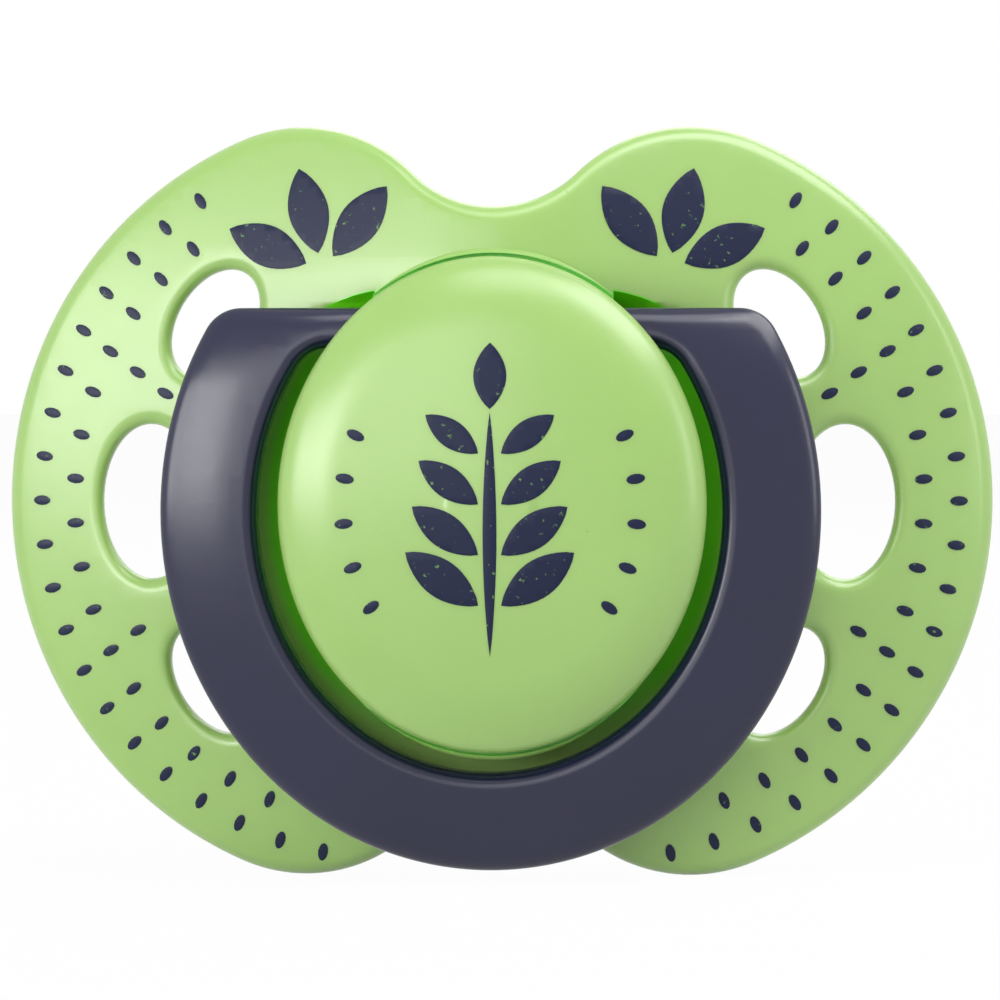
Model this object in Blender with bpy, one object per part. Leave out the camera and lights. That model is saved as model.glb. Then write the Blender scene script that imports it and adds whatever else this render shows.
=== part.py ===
"""Pacifier with a hinged ring handle, as an assembly of five pieces.

The front faces -Y and the teat points along +Y, with +Z up. The origin is on the teat's axis, in the plane
of the shield's mouth side, where the lips rest.
"""

import math

import bmesh
import bpy

MM = 0.001
FIT = 0.3 * MM  # gap between pieces that seat on or in each other
WELD = 0.001 * MM  # points closer than this are one point

# Shield outline: wing arcs, lobe arcs and the notches at the top and the bottom
WING_RADIUS = 22.0 * MM
WING_OFFSET = 6.0 * MM
LOBE_RADIUS = 9.05 * MM
NOTCH_RADIUS = 6.4 * MM
NOTCH_HEIGHT = 16.4 * MM

# Shield plate: a dish that bulges to the front, raised to a brow above the knob
PLATE_THICKNESS = 2.0 * MM
PLATE_EDGE = 0.8 * MM
PLATE_FRONT = -3.0 * MM
DISH_ACROSS = 50.0 * MM
DISH_UPRIGHT = 75.0 * MM
BROW_RISE = 3.2 * MM
BROW_HALF_WIDTH = 7.0 * MM
BROW_START = 9.0 * MM
BROW_FULL = 14.0 * MM

# Vents: one beside the mouth's corner and one above and below it, on each side
VENT_REACH = 19.5 * MM
VENT_LENGTH = 8.7 * MM
VENT_WIDTH = 5.7 * MM
CORNER_VENT_REACH = 18.7 * MM
CORNER_VENT_ANGLE = math.radians(32.3)
CORNER_VENT_LENGTH = 6.6 * MM
CORNER_VENT_WIDTH = 4.4 * MM

# Hub on the shield: an oval plinth under the knob and a boss on the mouth side
PLINTH_INSET = 0.3 * MM  # how far its sides stay behind the knob's
PLINTH_LIP = 0.5 * MM  # how far it shows above and below the knob
PLINTH_FRONT = -5.6 * MM
PLINTH_SHOULDER = 1.0 * MM
HUB_WALL = 2.4 * MM
BOSS_EDGE = 0.8 * MM

# Handle hinge and ring
PIVOT_Y = -3.95 * MM
PIVOT_Z = 9.7 * MM
BAR_RADIUS = 1.1 * MM
BAR_PLAY = 0.2 * MM
SADDLE_HALF_LENGTH = 6.6 * MM
SIDE_PLAY = 0.4 * MM
RING_HALF_WIDTH = 18.25 * MM
RING_HALF_HEIGHT = 19.8 * MM
RING_BAND = 5.25 * MM
RING_DROP = 0.45 * MM
RING_THICKNESS = 3.0 * MM
RING_FORWARD = 0.15 * MM  # how far the ring's middle lies in front of its bar
RING_EDGE = 0.7 * MM
RING_CROWN = 0.9 * MM
SHOULDER_RADIUS = 2.2 * MM
INNER_CORNER_RADIUS = 2.0 * MM

# Knob cover: a domed oval shell with a spigot and a keeper rib over the handle's bar, inside the ring's opening
KNOB_SIDE_ROOM = 1.25 * MM
KNOB_BOTTOM_ROOM = 1.4 * MM
KNOB_HALF_WIDTH = RING_HALF_WIDTH - RING_BAND - KNOB_SIDE_ROOM
KNOB_HALF_HEIGHT = RING_HALF_HEIGHT - RING_BAND + RING_DROP - KNOB_BOTTOM_ROOM
PLINTH_HALF_WIDTH = KNOB_HALF_WIDTH - PLINTH_INSET
PLINTH_HALF_HEIGHT = KNOB_HALF_HEIGHT + PLINTH_LIP
KNOB_DEPTH = 2.5 * MM
KNOB_DOME = 0.8 * MM
KNOB_ROUND = 2.4 * MM
KNOB_WALL = 1.5 * MM
KNOB_GAP = 0.4 * MM
SPIGOT_RADIUS = 2.5 * MM
SPIGOT_LENGTH = 7.0 * MM
KEEPER_HALF_LENGTH = 5.0 * MM
KEEPER_WIDTH = 1.6 * MM

# Teat: flange in the shield, neck, and a bulb flattened from above and below
TEAT_FLANGE_RADIUS = 7.3 * MM
TEAT_FLANGE = 1.2 * MM
TEAT_SEAT = -2.4 * MM
TEAT_NECK_RADIUS = 5.8 * MM
TEAT_WALL = 1.5 * MM
TEAT_NECK_END = 6.0 * MM
TEAT_BULB_RADIUS = 8.0 * MM
TEAT_BULB_START = 16.5 * MM
TEAT_LENGTH = 27.0 * MM
TEAT_FLATNESS = 0.76

# Plug that clamps the teat's flange and stiffens its neck
PLUG_FLANGE = 1.1 * MM
PLUG_LENGTH = 4.5 * MM
PLUG_END_WALL = 1.2 * MM

# Facets
SLICE = 2.0 * MM
GRID_SLACK = 0.02 * MM
FLAT = 0.999  # the least share of a face's normal along Y that counts as flat
ROUND_STEPS = 3
CORNER_STEPS = 5
DOME_STEPS = 7
LOBE_STEPS = 9
WING_STEPS = 12
TEAT_STEPS = 16
OVAL_STEPS = 26
SMALL_TURN_STEPS = 36
TURN_STEPS = 48


def clear_scene():
    for existing in list(bpy.data.objects):
        bpy.data.objects.remove(existing, do_unlink=True)


def material(name, colour, roughness):
    """A plain plastic or rubber; colour is linear RGB."""
    made = bpy.data.materials.new(name)
    made.use_nodes = True
    shader = made.node_tree.nodes["Principled BSDF"]
    shader.inputs["Base Color"].default_value = (*colour, 1.0)
    shader.inputs["Roughness"].default_value = roughness
    shader.inputs["Metallic"].default_value = 0.0
    return made


def add_object(name, bm, finish=None, origin=(0.0, 0.0, 0.0)):
    """Turns a bmesh in world coordinates into an object whose own origin is at the given point."""
    bmesh.ops.translate(bm, verts=bm.verts, vec=[-value for value in origin])
    bmesh.ops.recalc_face_normals(bm, faces=bm.faces)
    mesh = bpy.data.meshes.new(name)
    bm.to_mesh(mesh)
    bm.free()
    mesh.shade_smooth()
    mesh.set_sharp_from_angle(angle=math.radians(35))
    made = bpy.data.objects.new(name, mesh)
    made.location = origin
    bpy.context.scene.collection.objects.link(made)
    if finish:
        mesh.materials.append(finish)
    return made


def combine(target, tool, operation):
    """Adds a Boolean to the target and hides the tool as a helper."""
    tool.hide_render = True
    tool.display_type = "WIRE"
    change = target.modifiers.new(tool.name, "BOOLEAN")
    change.operation = operation
    change.solver = "EXACT"
    change.object = tool


def arc(centre, radius, start, end, steps):
    """Points on an arc from one angle to another, both ends included."""
    angles = [start + (end - start) * step / steps for step in range(steps + 1)]
    return [(centre[0] + radius * math.cos(a), centre[1] + radius * math.sin(a)) for a in angles]


def ellipse(centre, half_length, half_width, turn, steps):
    """A closed oval whose length is turned from X by an angle."""
    points = []
    for step in range(steps):
        along = half_length * math.cos(2 * math.pi * step / steps)
        aside = half_width * math.sin(2 * math.pi * step / steps)
        x = centre[0] + along * math.cos(turn) - aside * math.sin(turn)
        z = centre[1] + along * math.sin(turn) + aside * math.cos(turn)
        points.append((x, z))
    return points


def plate(loops, thickness, edge):
    """A flat plate standing in the XZ plane, centred on Y = 0, with rounded rims on its outline and holes."""
    curve = bpy.data.curves.new("outline", "CURVE")
    curve.dimensions = "2D"
    curve.fill_mode = "BOTH"
    curve.extrude = thickness / 2 - edge
    curve.bevel_depth = edge
    curve.bevel_resolution = ROUND_STEPS - 1
    curve.offset = -edge
    for loop in loops:
        spline = curve.splines.new("POLY")
        spline.points.add(len(loop) - 1)
        spline.use_cyclic_u = True
        for point, (x, z) in zip(spline.points, loop):
            point.co = (x, z, 0.0, 1.0)
    guide = bpy.data.objects.new("outline", curve)
    bpy.context.scene.collection.objects.link(guide)
    graph = bpy.context.evaluated_depsgraph_get()
    mesh = bpy.data.meshes.new_from_object(guide.evaluated_get(graph))
    bpy.data.objects.remove(guide)
    bm = bmesh.new()
    bm.from_mesh(mesh)
    bmesh.ops.remove_doubles(bm, verts=bm.verts, dist=WELD)
    for vert in bm.verts:
        x, z, depth = vert.co
        vert.co = (x, -depth, z)
    bmesh.ops.recalc_face_normals(bm, faces=bm.faces)
    return bm


def cut_into_cells(bm, reach):
    """Cuts the two flat faces of a plate along a square grid, so that the plate can be dished."""
    lines = [index * SLICE for index in range(-int(reach / SLICE), int(reach / SLICE) + 1)]
    for axis in (0, 2):
        normal = [1.0 if index == axis else 0.0 for index in range(3)]
        for line in lines:
            flat = [face for face in bm.faces if abs(face.normal.y) > FLAT]
            edges = {edge for face in flat for edge in face.edges}
            verts = {vert for face in flat for vert in face.verts}
            place = [line * value for value in normal]
            bmesh.ops.bisect_plane(
                bm, geom=[*flat, *edges, *verts], dist=GRID_SLACK / 2, plane_co=place, plane_no=normal
            )
    spare = []
    for edge in bm.edges:
        inside = all(abs(face.normal.y) > FLAT for face in edge.link_faces)
        if inside and not any(on_grid_line(edge, axis) for axis in (0, 2)):
            spare.append(edge)
    bmesh.ops.dissolve_edges(bm, edges=spare, use_verts=True)


def on_grid_line(edge, axis):
    first, second = (vert.co[axis] for vert in edge.verts)
    off_grid = abs(first - SLICE * round(first / SLICE))
    return abs(first - second) < GRID_SLACK and off_grid < GRID_SLACK


def turned(profile, steps=TURN_STEPS, across=1.0, oval_from=0.0):
    """Spins a profile of (radius, y) points about Y, and makes it oval outside a given radius."""
    bm = bmesh.new()
    verts = [bm.verts.new((0.0, y, radius)) for radius, y in profile]
    edges = [bm.edges.new(pair) for pair in zip(verts, verts[1:])]
    bmesh.ops.spin(
        bm,
        geom=[*verts, *edges],
        cent=(0.0, 0.0, 0.0),
        axis=(0.0, 1.0, 0.0),
        angle=2 * math.pi,
        steps=steps,
        use_merge=True,
    )
    bmesh.ops.remove_doubles(bm, verts=bm.verts, dist=WELD)
    oval = [vert for vert in bm.verts if math.hypot(vert.co.x, vert.co.z) > oval_from]
    bmesh.ops.scale(bm, verts=oval, vec=(across, 1.0, 1.0))
    bmesh.ops.recalc_face_normals(bm, faces=bm.faces)
    return bm


def rod(name, radius, left, right, centre_y, centre_z):
    """A round rod along X."""
    bm = turned([(0.0, left), (radius, left), (radius, right), (0.0, right)], SMALL_TURN_STEPS)
    for vert in bm.verts:
        x, y, z = vert.co
        vert.co = (y, centre_y + x, centre_z + z)
    return add_object(name, bm)


def block(name, low, high):
    bm = bmesh.new()
    bmesh.ops.create_cube(bm, size=1.0)
    for vert in bm.verts:
        for axis in range(3):
            vert.co[axis] = low[axis] if vert.co[axis] < 0 else high[axis]
    return add_object(name, bm)


def trough(name, radius, left, right):
    """A cutter along the hinge axis, round at its floor and open to the front."""
    bm = bmesh.new()
    section = arc((PIVOT_Y, PIVOT_Z), radius, -math.pi / 2, math.pi / 2, WING_STEPS)
    past_front = PLINTH_FRONT - PLATE_THICKNESS
    section += [(past_front, PIVOT_Z + radius), (past_front, PIVOT_Z - radius)]
    face = bm.faces.new([bm.verts.new((left, y, z)) for y, z in section])
    far_end = bmesh.ops.extrude_face_region(bm, geom=[face])["geom"]
    moved = [item for item in far_end if isinstance(item, bmesh.types.BMVert)]
    bmesh.ops.translate(bm, verts=moved, vec=(right - left, 0.0, 0.0))
    return add_object(name, bm)


def smooth_step(value):
    value = min(max(value, 0.0), 1.0)
    return value * value * (3 - 2 * value)


def dish(x, z):
    """How far the shield has swept back from its middle."""
    across = DISH_ACROSS - math.sqrt(DISH_ACROSS**2 - x**2)
    upright = DISH_UPRIGHT - math.sqrt(DISH_UPRIGHT**2 - z**2)
    brow = smooth_step((z - BROW_START) / (BROW_FULL - BROW_START))
    return across + upright - BROW_RISE * brow * math.exp(-((x / BROW_HALF_WIDTH) ** 2))


def shield_outline():
    """Wing, lobe and notch arcs that run into each other, mirrored to all four quarters."""
    notch = (0.0, NOTCH_HEIGHT + NOTCH_RADIUS)
    span = math.hypot(WING_OFFSET, notch[1])
    to_wing = WING_RADIUS - LOBE_RADIUS
    to_notch = NOTCH_RADIUS + LOBE_RADIUS
    along = (to_wing**2 - to_notch**2 + span**2) / (2 * span)
    aside = math.sqrt(to_wing**2 - along**2)
    slope = (-WING_OFFSET / span, notch[1] / span)
    lobe = (WING_OFFSET + along * slope[0] + aside * slope[1], along * slope[1] - aside * slope[0])
    wing_end = math.atan2(lobe[1], lobe[0] - WING_OFFSET)
    lobe_end = math.atan2(notch[1] - lobe[1], notch[0] - lobe[0])
    quarter = arc((WING_OFFSET, 0.0), WING_RADIUS, 0.0, wing_end, WING_STEPS)
    quarter += arc(lobe, LOBE_RADIUS, wing_end, lobe_end, LOBE_STEPS)[1:]
    quarter += arc(notch, NOTCH_RADIUS, lobe_end - math.pi, -math.pi / 2, CORNER_STEPS)[1:]
    upper = quarter + [(-x, z) for x, z in reversed(quarter[:-1])]
    return upper + [(x, -z) for x, z in reversed(upper[1:-1])]


def vent_outlines():
    loops = []
    for side in (1, -1):
        loops.append(ellipse((side * VENT_REACH, 0.0), VENT_WIDTH / 2, VENT_LENGTH / 2, 0.0, OVAL_STEPS))
        for level in (1, -1):
            x = side * CORNER_VENT_REACH * math.cos(CORNER_VENT_ANGLE)
            z = level * CORNER_VENT_REACH * math.sin(CORNER_VENT_ANGLE)
            turn = side * level * (CORNER_VENT_ANGLE - math.pi / 2)
            loops.append(ellipse((x, z), CORNER_VENT_LENGTH / 2, CORNER_VENT_WIDTH / 2, turn, OVAL_STEPS))
    return loops


def build_shield():
    """Dished plate with vents, plinth and boss, bored for the teat and cut for the handle's bar."""
    seat = TEAT_FLANGE_RADIUS + FIT
    neck = TEAT_NECK_RADIUS + FIT
    core = seat + HUB_WALL / 2
    hub_hole = ellipse((0.0, 0.0), core, core, 0.0, SMALL_TURN_STEPS)
    bm = plate([shield_outline(), hub_hole, *vent_outlines()], PLATE_THICKNESS, PLATE_EDGE)
    cut_into_cells(bm, WING_OFFSET + WING_RADIUS)
    for vert in bm.verts:
        vert.co.y += PLATE_FRONT + PLATE_THICKNESS / 2 + dish(vert.co.x, vert.co.z)
    bmesh.ops.triangulate(bm, faces=bm.faces)
    plastic = material("green_polypropylene", (0.45, 0.72, 0.25), 0.35)
    shield = add_object("shield", bm, plastic)

    corner = (PLINTH_HALF_HEIGHT - PLINTH_SHOULDER, PLINTH_FRONT + PLINTH_SHOULDER)
    foot = PLATE_FRONT + PLATE_THICKNESS / 2
    boss = seat + HUB_WALL
    profile = [(neck, 0.0), (neck, TEAT_SEAT), (seat, TEAT_SEAT), (seat, PLINTH_FRONT)]
    profile += arc(corner, PLINTH_SHOULDER, -math.pi / 2, 0.0, ROUND_STEPS + 1)
    profile += [(PLINTH_HALF_HEIGHT, foot), (boss, foot)]
    profile += arc((boss - BOSS_EDGE, -BOSS_EDGE), BOSS_EDGE, 0.0, math.pi / 2, ROUND_STEPS)
    narrowing = PLINTH_HALF_WIDTH / PLINTH_HALF_HEIGHT
    hub = turned([*profile, profile[0]], across=narrowing, oval_from=boss + FIT)
    for vert in hub.verts:
        if abs(vert.co.y - foot) < WELD:
            vert.co.y += dish(vert.co.x, vert.co.z)
    combine(shield, add_object("hub", hub), "UNION")

    saddle_end = SADDLE_HALF_LENGTH + SIDE_PLAY
    saddle = trough("saddle", BAR_RADIUS + BAR_PLAY, -saddle_end, saddle_end)
    combine(shield, saddle, "DIFFERENCE")
    reach = RING_THICKNESS / 2 + abs(ring_middle() - PIVOT_Y)
    swing = math.hypot(BAR_RADIUS, reach) + BAR_PLAY
    right = trough("shoulder_room_right", swing, SADDLE_HALF_LENGTH, RING_HALF_WIDTH)
    combine(shield, right, "DIFFERENCE")
    left = trough("shoulder_room_left", swing, -RING_HALF_WIDTH, -SADDLE_HALF_LENGTH)
    combine(shield, left, "DIFFERENCE")


def ring_middle():
    """Depth of the middle of the ring's thickness at its inner rim."""
    return PIVOT_Y - RING_FORWARD


def d_outline(half_width, half_height, top, corner):
    """An oval about the ring's middle, cut off straight at the top with rounded corners."""
    lean = math.asin((top - corner + RING_DROP) / (half_height - corner))
    centre = ((half_width - corner) * math.cos(lean), top - corner)
    corner_end = math.atan2(math.sin(lean) / half_height, math.cos(lean) / half_width)
    side = arc(centre, corner, math.pi / 2, corner_end, CORNER_STEPS)
    for step in range(1, OVAL_STEPS + 1):
        angle = lean + (-math.pi / 2 - lean) * step / OVAL_STEPS
        side.append((half_width * math.cos(angle), half_height * math.sin(angle) - RING_DROP))
    return side + [(-x, z) for x, z in reversed(side[:-1])]


def ring_slope(x, z):
    """From 0 at the ring's inner rim to 1 at its outer rim."""
    half_width = RING_HALF_WIDTH - RING_BAND
    half_height = RING_HALF_HEIGHT - RING_BAND
    reach = math.hypot(x / half_width, (z + RING_DROP) / half_height) - 1
    return min(max(reach / (RING_HALF_WIDTH / half_width - 1), 0.0), 1.0)


def build_handle_ring():
    """Flat-backed ring with a crowned front, on a round bar that the knob traps."""
    outer = d_outline(RING_HALF_WIDTH, RING_HALF_HEIGHT, PIVOT_Z + BAR_RADIUS, SHOULDER_RADIUS)
    inner = d_outline(
        RING_HALF_WIDTH - RING_BAND,
        RING_HALF_HEIGHT - RING_BAND,
        PIVOT_Z - BAR_RADIUS,
        INNER_CORNER_RADIUS,
    )
    bm = plate([outer, inner], RING_THICKNESS, RING_EDGE)
    for vert in bm.verts:
        front_share = 0.5 - vert.co.y / RING_THICKNESS
        lowered = RING_CROWN * ring_slope(vert.co.x, vert.co.z) * front_share
        vert.co.y += ring_middle() + lowered
    plastic = material("navy_polypropylene", (0.03, 0.032, 0.08), 0.4)
    ring = add_object("handle_ring", bm, plastic, (0.0, PIVOT_Y, PIVOT_Z))
    gap_end = SADDLE_HALF_LENGTH + SIDE_PLAY
    low = (-gap_end, PIVOT_Y - 2 * RING_THICKNESS, PIVOT_Z - 2 * BAR_RADIUS)
    high = (gap_end, PIVOT_Y + 2 * RING_THICKNESS, PIVOT_Z + 2 * BAR_RADIUS)
    combine(ring, block("bar_gap", low, high), "DIFFERENCE")
    root = gap_end + BAR_RADIUS
    combine(ring, rod("hinge_bar", BAR_RADIUS, -root, root, PIVOT_Y, PIVOT_Z), "UNION")


def build_knob_cover():
    """Domed oval cover, hollow behind, with a spigot into the plug and a rib that keeps the bar down."""
    rear = PLINTH_FRONT - KNOB_GAP
    rim_front = rear - KNOB_DEPTH
    face_radius = KNOB_HALF_HEIGHT - KNOB_ROUND
    profile = []
    for step in range(DOME_STEPS):
        radius = face_radius * step / DOME_STEPS
        profile.append((radius, rim_front - KNOB_DOME * (1 - (radius / face_radius) ** 2)))
    profile += arc((face_radius, rim_front + KNOB_ROUND), KNOB_ROUND, -math.pi / 2, 0.0, DOME_STEPS)
    roof = rim_front + KNOB_WALL
    inside = KNOB_HALF_HEIGHT - KNOB_WALL
    profile += [(KNOB_HALF_HEIGHT, rear), (inside, rear), (inside - KNOB_ROUND / 2, roof)]
    spigot_end = rear + SPIGOT_LENGTH
    profile += [(SPIGOT_RADIUS, roof), (SPIGOT_RADIUS, spigot_end), (0.0, spigot_end)]
    narrowing = KNOB_HALF_WIDTH / KNOB_HALF_HEIGHT
    bm = turned(profile, across=narrowing, oval_from=SPIGOT_RADIUS + FIT)
    plastic = material("green_polypropylene_cover", (0.45, 0.72, 0.25), 0.35)
    knob = add_object("knob_cover", bm, plastic)
    low = (-KEEPER_HALF_LENGTH, roof - KNOB_WALL / 2, PIVOT_Z - KEEPER_WIDTH / 2)
    high = (KEEPER_HALF_LENGTH, PIVOT_Y - BAR_RADIUS - FIT, PIVOT_Z + KEEPER_WIDTH / 2)
    combine(knob, block("bar_keeper", low, high), "UNION")


def teat_radius(y):
    """Outer radius of the teat before it is flattened."""
    if y > TEAT_BULB_START:
        share = min((y - TEAT_BULB_START) / (TEAT_LENGTH - TEAT_BULB_START), 1.0)
        return TEAT_BULB_RADIUS * math.sqrt(1 - share**2)
    swell = smooth_step((y - TEAT_NECK_END) / (TEAT_BULB_START - TEAT_NECK_END))
    return TEAT_NECK_RADIUS + (TEAT_BULB_RADIUS - TEAT_NECK_RADIUS) * swell


def bulb_stations():
    """Places along the teat short of its tip, closer together towards it."""
    shares = [math.sin(math.pi / 2 * step / TEAT_STEPS) for step in range(TEAT_STEPS)]
    return [TEAT_NECK_END + (TEAT_LENGTH - TEAT_NECK_END) * share for share in shares]


def build_teat():
    """Hollow silicone teat, open at its flange, round at the neck and flat at the bulb."""
    flange_front = TEAT_SEAT - FIT - TEAT_FLANGE
    bore = TEAT_NECK_RADIUS - TEAT_WALL
    profile = [(bore, flange_front), (TEAT_FLANGE_RADIUS, flange_front)]
    profile += [(TEAT_FLANGE_RADIUS, TEAT_SEAT - FIT), (TEAT_NECK_RADIUS, TEAT_SEAT - FIT)]
    stations = bulb_stations()
    profile += [(teat_radius(y), y) for y in stations]
    profile.append((0.0, TEAT_LENGTH))
    hollow = (TEAT_LENGTH - TEAT_WALL) / TEAT_LENGTH
    inner = [(0.0, TEAT_LENGTH - TEAT_WALL)]
    for y in reversed(stations):
        radius = teat_radius(y)
        inner.append((radius - TEAT_WALL * min(1.0, radius / TEAT_BULB_RADIUS), y * hollow))
    bm = turned(profile + inner + [(bore, flange_front)], SMALL_TURN_STEPS)
    for vert in bm.verts:
        flat = smooth_step((vert.co.y - TEAT_NECK_END) / (TEAT_BULB_START - TEAT_NECK_END))
        vert.co.z *= 1 - (1 - TEAT_FLATNESS) * flat
    add_object("teat", bm, material("clear_silicone", (0.85, 0.83, 0.76), 0.25))


def build_teat_plug():
    """Flanged plug, blind at its mouth end, that takes the knob's spigot."""
    flange_rear = TEAT_SEAT - 2 * FIT - TEAT_FLANGE
    flange_front = flange_rear - PLUG_FLANGE
    socket = SPIGOT_RADIUS + FIT
    shank = TEAT_NECK_RADIUS - TEAT_WALL - FIT
    socket_end = PLINTH_FRONT - KNOB_GAP + SPIGOT_LENGTH + FIT
    end = max(PLUG_LENGTH, socket_end + PLUG_END_WALL)
    profile = [(0.0, socket_end), (socket, socket_end), (socket, flange_front)]
    profile += [(TEAT_FLANGE_RADIUS, flange_front), (TEAT_FLANGE_RADIUS, flange_rear)]
    profile += [(shank, flange_rear), (shank, end), (0.0, end)]
    bm = turned(profile, SMALL_TURN_STEPS)
    add_object("teat_plug", bm, material("white_polypropylene", (0.8, 0.8, 0.78), 0.4))


def main():
    clear_scene()
    build_shield()
    build_teat()
    build_teat_plug()
    build_knob_cover()
    build_handle_ring()


main()
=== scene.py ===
import math

import bmesh
import bpy
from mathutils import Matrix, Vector


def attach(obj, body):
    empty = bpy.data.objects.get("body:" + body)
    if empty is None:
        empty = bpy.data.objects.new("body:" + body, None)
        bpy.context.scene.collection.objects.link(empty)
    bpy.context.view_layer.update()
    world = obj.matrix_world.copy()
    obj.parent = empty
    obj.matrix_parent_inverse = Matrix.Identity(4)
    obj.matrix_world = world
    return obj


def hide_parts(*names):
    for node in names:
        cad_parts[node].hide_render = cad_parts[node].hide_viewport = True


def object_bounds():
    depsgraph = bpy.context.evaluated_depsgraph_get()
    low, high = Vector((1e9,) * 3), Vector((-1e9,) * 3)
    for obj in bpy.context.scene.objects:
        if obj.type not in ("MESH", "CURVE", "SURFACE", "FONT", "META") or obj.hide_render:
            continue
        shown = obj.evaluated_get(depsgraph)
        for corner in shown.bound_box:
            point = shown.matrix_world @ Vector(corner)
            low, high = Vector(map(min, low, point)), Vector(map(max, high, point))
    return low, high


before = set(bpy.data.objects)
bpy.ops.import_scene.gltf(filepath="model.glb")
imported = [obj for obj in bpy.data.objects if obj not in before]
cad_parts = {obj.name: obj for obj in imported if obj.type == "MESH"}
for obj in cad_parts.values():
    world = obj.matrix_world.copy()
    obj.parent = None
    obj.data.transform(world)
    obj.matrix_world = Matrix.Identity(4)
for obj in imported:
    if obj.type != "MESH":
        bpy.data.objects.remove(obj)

CAD_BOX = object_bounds()
MM = 0.001

# Shield outline and plate
WING_RADIUS = 22.0 * MM
WING_OFFSET = 6.0 * MM
LOBE_RADIUS = 9.05 * MM
NOTCH_RADIUS = 6.4 * MM
NOTCH_HEIGHT = 16.4 * MM
PLATE_THICKNESS = 2.0 * MM
PLATE_EDGE = 0.8 * MM
PLATE_FRONT = -3.0 * MM
DISH_ACROSS = 50.0 * MM
DISH_UPRIGHT = 75.0 * MM
BROW_RISE = 3.2 * MM
BROW_HALF_WIDTH = 8.5 * MM
BROW_START = 5.0 * MM
BROW_FULL = 14.0 * MM

# Vents
VENT_REACH = 19.5 * MM
VENT_LENGTH = 8.7 * MM
VENT_WIDTH = 5.7 * MM
CORNER_VENT_REACH = 18.7 * MM
CORNER_VENT_ANGLE = math.radians(32.3)
CORNER_VENT_LENGTH = 6.6 * MM
CORNER_VENT_WIDTH = 4.4 * MM

# Hub
PLINTH_HALF_WIDTH = 11.45 * MM
PLINTH_HALF_HEIGHT = 14.1 * MM
PLINTH_FRONT = -5.6 * MM
PLINTH_SHOULDER = 1.0 * MM
HUB_WALL = 2.4 * MM
GROOVE_INNER = 13.25 * MM
GROOVE_OUTER = 13.8 * MM
GROOVE_FLOOR = -4.6 * MM
BOSS_EDGE = 0.8 * MM
SEAT_RADIUS = 7.6 * MM
SEAT_DEPTH = -2.4 * MM
NECK_HOLE_RADIUS = 6.1 * MM

# Handle hinge and ring
PIVOT_Y = -3.95 * MM
PIVOT_Z = 9.7 * MM
BAR_RADIUS = 1.1 * MM
BAR_PLAY = 0.2 * MM
BAR_EASE = 0.02 * MM
SADDLE_HALF_LENGTH = 6.6 * MM
SIDE_PLAY = 0.4 * MM
SHOULDER_SWING = 2.19 * MM
RING_HALF_WIDTH = 18.25 * MM
RING_HALF_HEIGHT = 19.8 * MM
RING_BAND = 5.45 * MM
RING_DROP = 0.45 * MM
RING_THICKNESS = 3.0 * MM
RING_MIDDLE = -4.1 * MM
RING_REST_OFFSET = -0.2 * MM
RING_EDGE = 0.9 * MM
RING_CROWN = 1.6 * MM
RING_ROUNDNESS = 1.5
SHOULDER_DROP = 0.7 * MM
SHOULDER_START = 6.2 * MM
SHOULDER_RADIUS = 2.2 * MM
INNER_CORNER_RADIUS = 2.0 * MM

# Knob cover
KNOB_HALF_WIDTH = 11.75 * MM
KNOB_HALF_HEIGHT = 13.6 * MM
KNOB_REAR = -6.0 * MM
KNOB_DEPTH = 2.5 * MM
KNOB_DOME = 0.76 * MM
KNOB_ROLL_WIDTH = 4.0 * MM
KNOB_ROLL_DEPTH = 1.65 * MM
KNOB_WALL = 1.5 * MM
SPIGOT_RADIUS = 2.5 * MM
SPIGOT_LENGTH = 7.0 * MM
KEEPER_HALF_LENGTH = 5.0 * MM
KEEPER_HALF_WIDTH = 0.8 * MM
KEEPER_REAR = -5.35 * MM

# Teat
TEAT_FLANGE_RADIUS = 7.3 * MM
TEAT_FLANGE_FRONT = -3.9 * MM
TEAT_FLANGE_REAR = -2.7 * MM
TEAT_NECK_RADIUS = 5.8 * MM
TEAT_WALL = 1.5 * MM
TEAT_NECK_END = 6.0 * MM
TEAT_BULB_RADIUS = 8.0 * MM
TEAT_BULB_START = 16.5 * MM
TEAT_LENGTH = 27.0 * MM
TEAT_FLATNESS = 0.76

# Where the painted crevice shade is full and where it is gone: a saturated deeper green that stands in
# for the shade and the light through the plastic in the groove, the moat and the hinge room; a reach of 1
# is the knob's edge
GROOVE_PAINTED_SHADE_REACH = (1.01, 1.02)
GROOVE_PAINTED_SHADE_DEPTH = (GROOVE_FLOOR + 0.1 * MM, GROOVE_FLOOR + 0.4 * MM)
MOAT_PAINTED_SHADE_REACH = (1.05, 1.13)
MOAT_PAINTED_SHADE_TOP = (PIVOT_Z - 1.7 * MM, PIVOT_Z - 0.2 * MM)
MOAT_PAINTED_SHADE_DEPTH = (-1.2 * MM, -0.4 * MM)
MOAT_PAINTED_SHADE_FOOT = (-14.0 * MM, -9.0 * MM)
ROOM_PAINTED_SHADE_REACH = (SHOULDER_SWING + 0.02 * MM, SHOULDER_SWING + 0.1 * MM)
ROOM_PAINTED_SHADE_START = (SADDLE_HALF_LENGTH - 0.1 * MM, SADDLE_HALF_LENGTH)

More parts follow.
